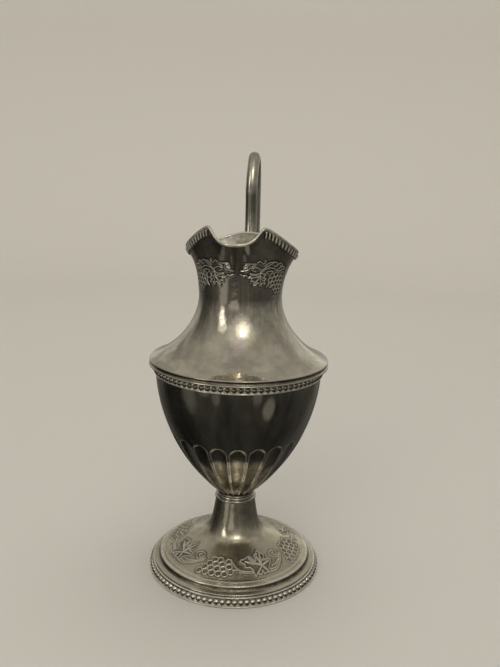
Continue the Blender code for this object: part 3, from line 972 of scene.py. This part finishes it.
def lipCorners(angles):
    # start, pulls and end of the lip's section at each angle
    away = awayFromSpout(angles)
    lean = np.radians(eased(away, lipSizes["lean"]))
    rim = np.stack([eased(away, lipSizes["radius"]), rimHeight(away)], -1)
    waist = np.broadcast_to(np.array(lipSizes["waist"]), rim.shape)
    rise = lipSizes["waistPull"] * (rim[:, 1] - waist[:, 1])
    lower = waist + np.stack([lipSizes["waistSpread"] * rise, rise], -1)
    upper = rim - lipSizes["rimPull"] * np.stack([np.sin(lean), np.cos(lean)], -1)
    return waist, lower, upper, rim


def lipAt(corners, fraction):
    # point and unit direction on each angle's cubic
    t = fraction[..., None]
    way = cubicSlope(corners, t)
    return cubicAt(corners, t), way / np.linalg.norm(way, axis=-1, keepdims=True)


def besideLip(angles, point, way, out):
    # a point of the lip, moved out square to its direction
    return placed(angles, point[..., 0] + out * way[..., 1], point[..., 1] - out * way[..., 0])


def fractionDown(down):
    # fraction of the cubic a short way down from the rim, where it runs at three times its pull
    return 1 - np.asarray(down) / (3 * lipSizes["rimPull"])


def lipPoint(angles, down, out):
    # down along the lip from the rim, and out square to its outer face
    return besideLip(angles, *lipAt(lipCorners(angles), fractionDown(down)), out)


def lipFractionAt(corners, height):
    # fraction at which the cubic reaches a height, by repeated correction along its slope
    heights = [corner[:, 1] for corner in corners]
    t = np.clip((height - heights[0]) / (heights[-1] - heights[0]), 0, 1)
    for _ in range(lipSizes["corrections"]):
        t = np.clip(t - (cubicAt(heights, t) - height) / (3 * cubicSlope(heights, t)), 0, 1)
    return t


# Neck vine: angle in degrees and height in mm on one side of the spout, mirrored on the other
neckVine = {
    "leaf": [
        (31, 123.7), (24, 123.35), (16.8, 123.75), (18.8, 122.9), (14.2, 122.1), (19.6, 121.9), (17.8, 120.8),
        (22.6, 120.9), (21.6, 119.1), (26, 119.8), (28.4, 120.3), (31.5, 118.9), (33.6, 120), (39.2, 119.6),
        (36.6, 120.9), (40.2, 121.5), (36.4, 122.3), (39.2, 123.3), (34.4, 123.5),
    ],
    "veins": [
        [(31, 122.7), (25, 122.9), (18.4, 123.4)],
        [(31, 122.5), (24, 122.2), (16.6, 122.1)],
        [(31, 122.3), (26, 120.9), (22.6, 119.8)],
        [(31.2, 122.2), (31.4, 120.8), (31.6, 119.7)],
        [(31.6, 122.3), (34.6, 121), (38, 120)],
        [(31.6, 122.6), (35, 122), (38.6, 121.6)],
    ],
    "stems": [
        [(47.6, 126.9), (42, 126.2), (37, 125.4), (33, 124.6), (30.2, 123.5)],
        [(46.6, 125.6), (41, 125.3), (36, 124.7), (32.4, 123.8), (30.4, 122.8)],
        [(10, 127.3), (17, 127.25), (25, 127.2)],
        [(46.6, 125.6), (52, 125.2), (57, 124.4), (63, 124.2)],
        [(57, 124.5), (61, 125.2), (66.5, 125.6), (72, 125.3), (73.6, 124.8), (69, 124.4), (63, 124.2)],
        [(44, 122.9), (40, 124), (47, 124.3), (52, 123.9)],
        [(19.6, 125.5), (25, 125.9), (30, 125.3), (34, 124.4)],
        [(24.6, 124.5), (20.4, 124.7), (18.4, 125.6), (20.6, 126.4), (24.4, 126.6)],
        [(40.6, 118.4), (43.6, 119.6), (45.4, 121.4), (44.6, 122.8)],
        [(37, 126.2), (41, 127), (45, 127.5), (50, 127.6)],
    ],
    "petals": [
        [(6.2, 124.8), (10.4, 125.1), (14.6, 125.7), (13.4, 126.6), (9.6, 126.4)],
    ],
    "curls": [
        [(4.6, 124.6), (9, 124.7), (12.6, 124.9), (15.8, 125.4), (16.4, 126.3), (14, 126.9), (10.2, 126.7),
         (8.2, 126), (9.6, 125.5), (11.6, 125.9)],
        [(26.6, 127.6), (30, 128.1), (33, 127.3), (36, 127.2), (38.6, 128), (36.6, 128.4)],
        [(4.2, 123.4), (8, 122.9), (12, 123), (13, 122.4)],
        [(47.6, 126.9), (52, 127.6), (56, 127.3), (57, 126.4), (54, 125.9), (51.4, 126.4)],
        [(57, 126.3), (61, 127), (65, 126.8), (66.6, 126.2), (63.6, 125.9), (61.6, 126.3)],
    ],
    "grapes": [
        (50, 122.6), (57, 122.9), (64, 122.8), (71, 122.6), (46.6, 121), (53.6, 121.2), (60.6, 121.3),
        (67.6, 121.2), (74.6, 121), (47.4, 119.2), (50.4, 119.6), (57.2, 119.7), (64, 119.7), (71, 119.5),
        (53.8, 118.1), (60.6, 118.2), (67.6, 118), (57.4, 116.7), (64.2, 116.7),
    ],
    "grapeRadius": 0.92,
    "rearShift": 78,  # the same spray again, turned this far towards the back
    "turn": 3.4,  # the whole spray sits a little to one side of the spout
    "unrolledRadius": 17.0,
    "lineSteps": 5,
    "curlSteps": 6,
    "leafSteps": 3,
    "petalSteps": 4,
}
neckTool = dict(chaseTool, lineWidth=0.125, furrowOffset=0.35, furrowWidth=0.24, grapeDepth=0.12,
                leafDepth=0.04, furrowShade=1, grapeShade=0.8, leafShade=0.7, lineShine=1, groundShade=0.85)
neckBand = {"bottom": 115.4, "top": 129.9, "clear": 0.6, "rows": 92, "columns": 840, "plainColumns": 168}


def neckOrnament(heights):
    # the vine on a half turn, unrolled at the neck's mean radius, then mirrored about the spout
    vine, columns = neckVine, neckBand["columns"]
    half = columns // 2 + 1
    scale = np.array([math.radians(1) * vine["unrolledRadius"], 1])
    angles = np.arange(half) * 360 / columns
    plan = np.stack([np.broadcast_to(angles, heights[:, :half].shape), heights[:, :half]], -1) * scale
    turns, paths = (0, vine["rearShift"]), vine["veins"] + vine["stems"]
    lines = [smoothLine(shifted(path, turn), vine["lineSteps"]) * scale for turn in turns for path in paths]
    lines += [smoothLine(path, vine["curlSteps"]) * scale for path in vine["curls"]]
    leaves = [smoothLine(shifted(vine["leaf"], turn), vine["leafSteps"]) * scale for turn in turns]
    spots = np.vstack([shifted(vine["grapes"], turn) for turn in turns]) * scale
    grapes = [(x, y, vine["grapeRadius"]) for x, y in spots]
    petals = [smoothLine(path + path[:1], vine["petalSteps"])[:-1] * scale for path in vine["petals"]]
    mirror = np.minimum(np.arange(columns), columns - np.arange(columns))
    aside = int(round(vine["turn"] * columns / 360))
    parts = chased(plan, lines, leaves, grapes, neckTool, petals)
    return [np.roll(part[:, mirror], aside, 1) for part in parts]


bodySizes = {
    "flange": [(31.2, 87.1), (31.2, 86.2), (33.4, 86.15)],
    "shoulder": [(34.3, 86.14), (34.95, 86.2), (35.18, 86.42), (35.12, 86.74), (34.8, 86.96), (34.52, 87.3),
                 (34.5, 87.75), (34.72, 88.05), (34.9, 88.22), (34.88, 88.45), (34.62, 88.66), (34.2, 88.83)],
    "neck": [(34.4, 88.75), (24.6, 92.6), (15.73, 103.3), (16.06, 113.7)],
    "neckSpacing": 1.0,
    "neckSteps": 400,
    "rollJoins": (30, 60),  # steps of the neck's curve that the rolled edge runs on to
    "neckFrom": 32,
    "rollSteps": 3,
    "waistRows": 3,
    "lipRows": 10,
    "liningRows": 20,
    "shade": [(86.2, 1), (86.35, 0), (86.8, 0), (87.1, 0.9), (87.8, 0.9), (88.1, 0)],  # height and painted shade: under the flange and in the cove above its wire
    "liningShade": (0.7, 0.88),
    "neckShade": 0.75,
}


def makeUpperBody():
    # rows of rings from the flange up the outside to the edge of the lip and down the inside
    sizes, wall, bottom = bodySizes, lipSizes["wall"], neckBand["bottom"]
    plain, fine = neckBand["plainColumns"], neckBand["columns"]
    plainAngles, fineAngles = turnAngles(plain), turnAngles(fine)
    # shoulder and neck: a rolled edge that runs on into one cubic
    neck = cubicLine(sizes["neck"], sizes["neckSteps"])
    joins = [tuple(neck[step]) for step in sizes["rollJoins"]]
    roll = smoothLine(sizes["shoulder"] + joins, sizes["rollSteps"])[:-sizes["rollSteps"]]
    neck = evenly(neck[sizes["neckFrom"]:], sizes["neckSpacing"])[:-1]
    foot = np.vstack([sizes["flange"], roll, neck])
    # chased band: even heights at each angle, up to just under the border
    corners = lipCorners(fineAngles)
    edge = fractionDown(lipSizes["edge"])
    edgeHeight = lipAt(corners, np.full(fine, edge))[0][:, 1]
    top = np.minimum(neckBand["top"], edgeHeight - neckBand["clear"])
    heights = bottom + (top - bottom) * np.linspace(0, 1, neckBand["rows"])[:, None]
    fraction = lipFractionAt(corners, heights)
    push, shadeAndGrime, highlightAndWear = neckOrnament(heights)
    band = besideLip(fineAngles, *lipAt(corners, fraction), push)
    # waist below the band, lip above it, and an inner face a wall's thickness in
    corners = lipCorners(plainAngles)
    first, last = fraction[0, :: fine // plain], fraction[-1, :: fine // plain]
    waistShare = np.linspace(0, 1, sizes["waistRows"] + 1)[:-1, None]
    lipShare = np.linspace(0, 1, sizes["lipRows"] + 1)[1:, None]
    waist = besideLip(plainAngles, *lipAt(corners, waistShare * first), 0)
    lip = besideLip(plainAngles, *lipAt(corners, last + lipShare * (edge - last)), 0)
    rows = sizes["liningRows"]
    down = np.broadcast_to(np.linspace(1, 0, rows)[:, None] * edge, (rows, plain))
    lining = besideLip(plainAngles, *lipAt(corners, down), -wall)
    neckLining = inset(neck[1:-1:2], wall)[::-1]
    # painted shade inside the lip, deeper further in, and on the inside of the neck
    deeper = np.linspace(*sizes["liningShade"], rows)[:, None]
    shade = ramped(foot[:, 1:], sizes["shade"])
    blocks = [spun(foot, plain), waist, band, lip, lining, spun(neckLining, plain)]
    return skin("upperBody", blocks, True, [shade, 0, shadeAndGrime, 0, deeper, sizes["neckShade"]],
                [0, 0, highlightAndWear, 0, 0, 0], [0, 0, 0, 0, 1, 1])


addPiece("upperBody", makeUpperBody(), chasedPlate, "upper_body", 50)

rimWireSizes = {"radius": 0.62, "centre": 0.56, "columns": 720, "sides": 16, "highlightAndWearShare": 0.75}


def makeRimWire():
    # a round section carried along the edge of the lip
    side = turnAngles(rimWireSizes["sides"])
    angles = turnAngles(rimWireSizes["columns"])
    radius = rimWireSizes["radius"]
    down = (rimWireSizes["centre"] - radius * np.cos(side))[:, None]
    out = (radius * np.sin(side) - lipSizes["wall"] / 2)[:, None]
    rings = lipPoint(angles, np.broadcast_to(down, (len(side), len(angles))), out)
    # painted highlight all along the wire, partly wear
    return skin("rimWire", [rings], True, None, [rimWireSizes["highlightAndWearShare"]])


addPiece("rimWire", makeRimWire(), plainPlate, "rim_wire")

rimRibs = {
    "count": 64,
    "columns": 14,
    "startAngle": 35.75,
    "top": 1.16,
    "widths": [(0, 2.5), (33.75, 2.5), (95, 2.4), (180, 2.4)],
    "valley": 0.1,
    "height": 0.75,
    "back": -0.1,
    "barWidth": 0.5,  # of the pitch
    "endRise": 7,  # one over the share of the bar that rounds off at each end
    "topFrom": (0.45, 0.9),  # of the bar's height, where the painted highlight starts and is full
    "rows": 12,
}


def makeRimBorder():
    # half-round bars square to the rim, round-ended, on a thin strip
    ribs = rimRibs
    steps = ribs["count"] * ribs["columns"] + 1
    start = math.radians(ribs["startAngle"])
    angles = np.linspace(start, 2 * np.pi - start, steps)
    width = eased(awayFromSpout(angles), ribs["widths"])[:, None]
    across = 2 * ((np.arange(steps) / ribs["columns"]) % 1) - 1
    along = np.linspace(0, 1, ribs["rows"])
    ends = np.clip(np.minimum(along, 1 - along) * ribs["endRise"], 0, 1)
    ends = np.sqrt(np.clip(1 - (1 - ends) ** 2, 0, 1))
    bar = np.sqrt(np.clip(1 - (across / ribs["barWidth"]) ** 2, 0, 1))[:, None] * ends
    down = ribs["top"] + width * along
    down = np.hstack([down, down[:, -1:], down[:, :1]])
    out = np.hstack([ribs["valley"] + ribs["height"] * bar, np.full((steps, 2), ribs["back"])])
    rings = lipPoint(angles, down.T, out.T).transpose(1, 0, 2)
    # painted shade between and behind the bars, painted highlight on their tops
    shadeAndGrime = np.hstack([np.clip(1 - bar, 0, 1), np.ones((steps, 2))])
    highlightAndWear = np.hstack([smoothStep(*ribs["topFrom"], bar), np.zeros((steps, 2))])
    return skin("rimBorder", [rings], False, [shadeAndGrime], [highlightAndWear])


addPiece("rimBorder", makeRimBorder(), beadedWire, "rim_border", 60)

handleSizes = {
    "wire": 2.3,
    "sides": 40,
    "spacing": 0.42,
    "routeSteps": 24,
    "tongue": 0.35,  # of the wire, at the neck
    "tongueRun": 3.6,
    "spread": 0.3,  # of the wire, at the shoulder
    "spreadRun": 1.3,
    "section": (1.03, 0.97),  # width and depth, of the wire
    # distance along the route and painted shade: darker on the front strand's middle and at the loop's top
    "stain": [(16, 0), (19, 0.35), (31, 0.4), (34, 0), (40, 0), (44, 0.3), (50, 0.2), (60, 0)],
    "route": [  # distance behind the axis and height
        (17, 123.4), (18.2, 125.2), (19.6, 127), (20.8, 129.8), (22.8, 136), (23.3, 141.5), (23.1, 146.5),
        (22.7, 152), (23.5, 156.8), (25.5, 161.4), (29, 165.5), (32.3, 162.4), (34.1, 151.5), (34.4, 130),
        (34, 108), (32.6, 96), (31.5, 89.9),
    ],
}


def makeHandle():
    # a round section square to the route, thinned to a tongue at the neck and spread a little at the shoulder
    sizes = handleSizes
    route = evenly(smoothLine(sizes["route"], sizes["routeSteps"]), sizes["spacing"])
    travel = lengthAlong(route)
    tongue, left = sizes["tongue"], travel[-1] - travel
    wire = sizes["wire"] * (tongue + (1 - tongue) * smoothStep(0, sizes["tongueRun"], travel))
    wire = (wire * (1 + sizes["spread"] * np.exp(-((left / sizes["spreadRun"]) ** 2))))[:, None]
    side = turnAngles(sizes["sides"])
    wide, deep = sizes["section"]
    middle = route[:, None] + (wire * deep * np.sin(side))[..., None] * -outwardOf(route)[:, None]
    rings = np.concatenate([(wire * wide * np.cos(side))[..., None], middle], -1)
    # painted shade along the stretches given in stain, for the handle's darker reflections
    return skin("loopHandle", [rings], False, [ramped(travel, sizes["stain"])[:, None]])


addPiece("loopHandle", makeHandle(), plainPlate, "handle", 60)


# Stage: one round sweep, floor and wall in a single sheet
stageSizes = {  # metres
    "hub": 0.01,
    "floor": 0.75,
    "floorRings": 30,
    "bend": 0.4,
    "bendRings": 24,
    "wall": 1.5,
    "columns": 96,
}
stagePaper = {"tint": (0.74, 0.72, 0.68, 1), "roughness": 0.9, "gloss": 0.1}


def makeStage():
    # flat disc, a quarter round and an upright wall, carried round the axis
    sizes = stageSizes
    bend = np.linspace(0, np.pi / 2, sizes["bendRings"])
    arc = np.stack([sizes["floor"] + sizes["bend"] * np.sin(bend), sizes["bend"] * (1 - np.cos(bend))], -1)
    disc = np.linspace((sizes["hub"], 0), (sizes["floor"], 0), sizes["floorRings"])[:-1]
    rings = spun(np.vstack([disc, arc, [(arc[-1, 0], sizes["wall"])]]), sizes["columns"])
    index = np.arange(rings.shape[0] * rings.shape[1]).reshape(rings.shape[:2])
    faces = np.concatenate([quadBand(lower, upper)[:, ::-1] for lower, upper in zip(index, index[1:])])
    mesh = bpy.data.meshes.new("stage")
    mesh.from_pydata(rings.reshape(-1, 3), [], faces.tolist() + [index[0].tolist()[::-1]])
    mesh.update()
    mesh.shade_smooth()
    return mesh


def makeStagePaper():
    # one plain dull colour
    material = bpy.data.materials.new("stagePaper")
    material.use_nodes = True
    shader = material.node_tree.nodes["Principled BSDF"]
    shader.inputs["Base Color"].default_value = stagePaper["tint"]
    shader.inputs["Roughness"].default_value = stagePaper["roughness"]
    shader.inputs["Specular IOR Level"].default_value = stagePaper["gloss"]
    return material


stageMesh = makeStage()
stageMesh.materials.append(makeStagePaper())
stageSheet = bpy.data.objects.new("stage", stageMesh)
bpy.context.scene.collection.objects.link(stageSheet)
stageSheet.visible_glossy = False  # the plate mirrors the studio's dark surroundings, not the paper
print("stage made")

# Camera: placed beside and in front of the jug, with the spout turned a little to the left
cameraView = {  # degrees and mm
    "turn": 7.8,
    "distance": 275.0,
    "aside": 4.1,
    "height": 160.37,
    "pitch": 12.787,
    "roll": 1.631,
    "focalPixels": 720,
    "longSidePixels": 667,
    "sensor": 36,
    "clip": (0.01, 20),  # metres
}


def turnedTo(aside, up):
    # a view that faces level from the spout to the handle, tipped up and then turned aside, in degrees
    return Matrix.Rotation(math.radians(aside), 4, "Z") @ Matrix.Rotation(math.radians(90 + up), 4, "X")


def makeCamera():
    # beside and in front of the axis, pitched down and rolled
    view = cameraView
    data = bpy.data.cameras.new("camera")
    data.sensor_width = view["sensor"]
    data.lens = view["sensor"] * view["focalPixels"] / view["longSidePixels"]
    data.clip_start, data.clip_end = view["clip"]
    camera = bpy.data.objects.new("camera", data)
    facing = turnedTo(view["turn"], -view["pitch"]) @ Matrix.Rotation(math.radians(view["roll"]), 4, "Z")
    spot = placed(0, view["distance"], view["height"]) + [view["aside"], 0, 0]
    spot = Matrix.Rotation(math.radians(view["turn"]), 4, "Z") @ Vector(spot * mm)
    camera.matrix_world = Matrix.Translation(spot) @ facing
    bpy.context.scene.collection.objects.link(camera)
    bpy.context.scene.camera = camera


makeCamera()

# Light: soft panels overhead and in front for the paper and for the pale edges that carry painted highlight;
# the plate mirrors only the sky
lampPlans = {  # degrees from the camera's side and above the floor, metres, watts
    "paperPanel": {
        "aside": 150, "elevation": 80, "distance": 1.15, "size": 1.2, "power": 4.4, "tint": (1, 0.985, 0.96),
    },
    "frontPanel": {
        "aside": -15, "elevation": 35, "distance": 1.0, "size": 0.8, "power": 2.6, "tint": (1, 0.97, 0.9),
    },
}
jugMiddle = (0, 0, 0.08)


def makeLamp(name, plan):
    # set on a sphere round the jug's middle and turned to face it
    data = bpy.data.lights.new(name, "AREA")
    data.shape = "RECTANGLE"
    data.size = data.size_y = plan["size"]
    data.energy = plan["power"]
    data.color = plan["tint"]
    lamp = bpy.data.objects.new(name, data)
    facing = turnedTo(cameraView["turn"] + plan["aside"], -plan["elevation"])
    lamp.matrix_world = Matrix.Translation(jugMiddle) @ facing @ Matrix.Translation((0, 0, plan["distance"]))
    bpy.context.scene.collection.objects.link(lamp)
    return lamp


for lampName, lampPlan in lampPlans.items():
    makeLamp(lampName, lampPlan).visible_glossy = False

studioSky = {
    "around": [  # degrees from the camera's side, and brightness at eye level
        (-180, 0.62), (-150, 0.52), (-132, 0.28), (-116, 0.08), (-94, 0.09), (-78, 0.18), (-60, 0.27),
        (-40, 0.26), (-15, 0.22), (15, 0.28), (40, 0.25), (62, 0.19), (84, 0.19), (104, 0.26), (125, 0.34),
        (155, 0.54), (180, 0.62),
    ],
    "overhead": 0.36,
    "lift": (8, 58),  # degrees over which eye level gives way to overhead
    "drop": [  # degrees above eye level, and share of the brightness
        (-90, 0.1), (-45, 0.12), (-30, 0.14), (-22, 0.17), (-12, 0.32), (-2, 0.62), (8, 0.9), (18, 1),
        (90, 1),
    ],
    "tints": [(1.0, 0.945, 0.85, 1), (1.0, 0.97, 0.86, 1)],
    "glows": [  # degrees aside and up, inner and outer spread in degrees, brightness
        (10, 44, 0, 6, 4.5),
        (10, 41, 0, 17, 0.9),
        (5, 42, 3, 32, 0.4),
        (-48, 5, 0, 8, 0.8),
        (-48, 14, 0, 10, 1.5),
        (-47, 24, 0, 10, 1.2),
        (-46, 33, 0, 12, 0.7),
        (-16, -2, 2, 16, 0.26),
        (-46, -13, 3, 15, 0.22),
        (-136, 4, 3, 13, 0.1),
        (-152, 24, 2, 24, -0.14),
        (0, 89, 4, 13, -0.07),
        (28, -25, 4, 8, 0.09),
        (48, -34, 5, 9, 0.13),
        (-30, -27, 3, 7, 0.08),
        (-72, -25, 2, 14, 0.07),
    ],
    # noise: scale, detail, roughness and stretch; then the range it is read over and what that gives;
    # the folds are upright, as of a curtain, and the neck mirrors them as streaks
    "foldNoise": (6, 3, 0.6, (1, 1, 0.12)),
    "folds": (0.34, 0.66, 0.78, 1.22),
    "mottleNoise": (3.2, 3),
    "mottle": (0.35, 0.65, 0.86, 1.14),
    "warmthNoise": (1.6, 2),
    "warmth": (0.4, 0.6),
}


def addRamp(tree, value, stops, low, high):
    # straight lines between (place, brightness) stops over the range from low to high
    ramp = tree.nodes.new("ShaderNodeValToRGB")
    while len(ramp.color_ramp.elements) < len(stops):
        ramp.color_ramp.elements.new(0.5)
    for element, (place, bright) in zip(ramp.color_ramp.elements, stops):
        element.position = (place - low) / (high - low)
        element.color = (bright, bright, bright, 1)
    share = timesPlus(tree, value, 1 / (high - low), -low / (high - low))
    tree.links.new(share, ramp.inputs["Fac"])
    return ramp.outputs["Color"]


def addGlow(tree, way, aside, elevation, inner, outer, bright):
    # a soft round patch: fades between the cosines of its two spreads
    aside, elevation, inner, outer = (math.radians(angle) for angle in (aside, elevation, inner, outer))
    flat = math.cos(elevation)
    dot = tree.nodes.new("ShaderNodeVectorMath")
    dot.operation = "DOT_PRODUCT"
    dot.inputs[1].default_value = (flat * math.sin(aside), -flat * math.cos(aside), math.sin(elevation))
    tree.links.new(way, dot.inputs[0])
    return addRange(tree, dot.outputs["Value"], math.cos(outer), math.cos(inner), 0.0, bright)


def makeSky():
    # brightness round the jug at eye level, blended to one value overhead and dropping off below, with glows
    sky = studioSky
    world = bpy.data.worlds.new("studioSky")
    world.use_nodes = True
    tree = world.node_tree
    turn = tree.nodes.new("ShaderNodeVectorRotate")
    turn.rotation_type = "Z_AXIS"
    turn.inputs["Angle"].default_value = -math.radians(cameraView["turn"])
    tree.links.new(tree.nodes.new("ShaderNodeTexCoord").outputs["Generated"], turn.inputs["Vector"])
    way = turn.outputs["Vector"]
    parts = tree.nodes.new("ShaderNodeSeparateXYZ")
    tree.links.new(way, parts.inputs["Vector"])
    toFront = times(tree, parts.outputs["Y"], -1)
    around = addMath(tree, "DEGREES", addMath(tree, "ARCTAN2", parts.outputs["X"], toFront))
    upward = addMath(tree, "DEGREES", addMath(tree, "ARCSINE", parts.outputs["Z"]))
    level = addRamp(tree, around, sky["around"], -180, 180)
    folds = addRange(tree, addNoise(tree, way, *sky["foldNoise"]), *sky["folds"])
    level = times(tree, level, folds)
    lifted = addRange(tree, upward, *sky["lift"])
    spare = times(tree, addMath(tree, "SUBTRACT", 1, lifted), level)
    bright = timesPlus(tree, lifted, sky["overhead"], spare)
    bright = times(tree, bright, addRamp(tree, upward, sky["drop"], -90, 90))
    mottle = addRange(tree, addNoise(tree, way, *sky["mottleNoise"]), *sky["mottle"])
    bright = times(tree, bright, mottle)
    for glow in sky["glows"]:
        bright = addMath(tree, "ADD", bright, addGlow(tree, way, *glow))
    warmth = addRange(tree, addNoise(tree, way, *sky["warmthNoise"]), *sky["warmth"])
    background = tree.nodes["Background"]
    tree.links.new(addMix(tree, warmth, *sky["tints"]), background.inputs["Color"])
    tree.links.new(bright, background.inputs["Strength"])
    bpy.context.scene.world = world


makeSky()
bpy.context.scene.view_settings.view_transform = "Standard"
print("camera and light made")
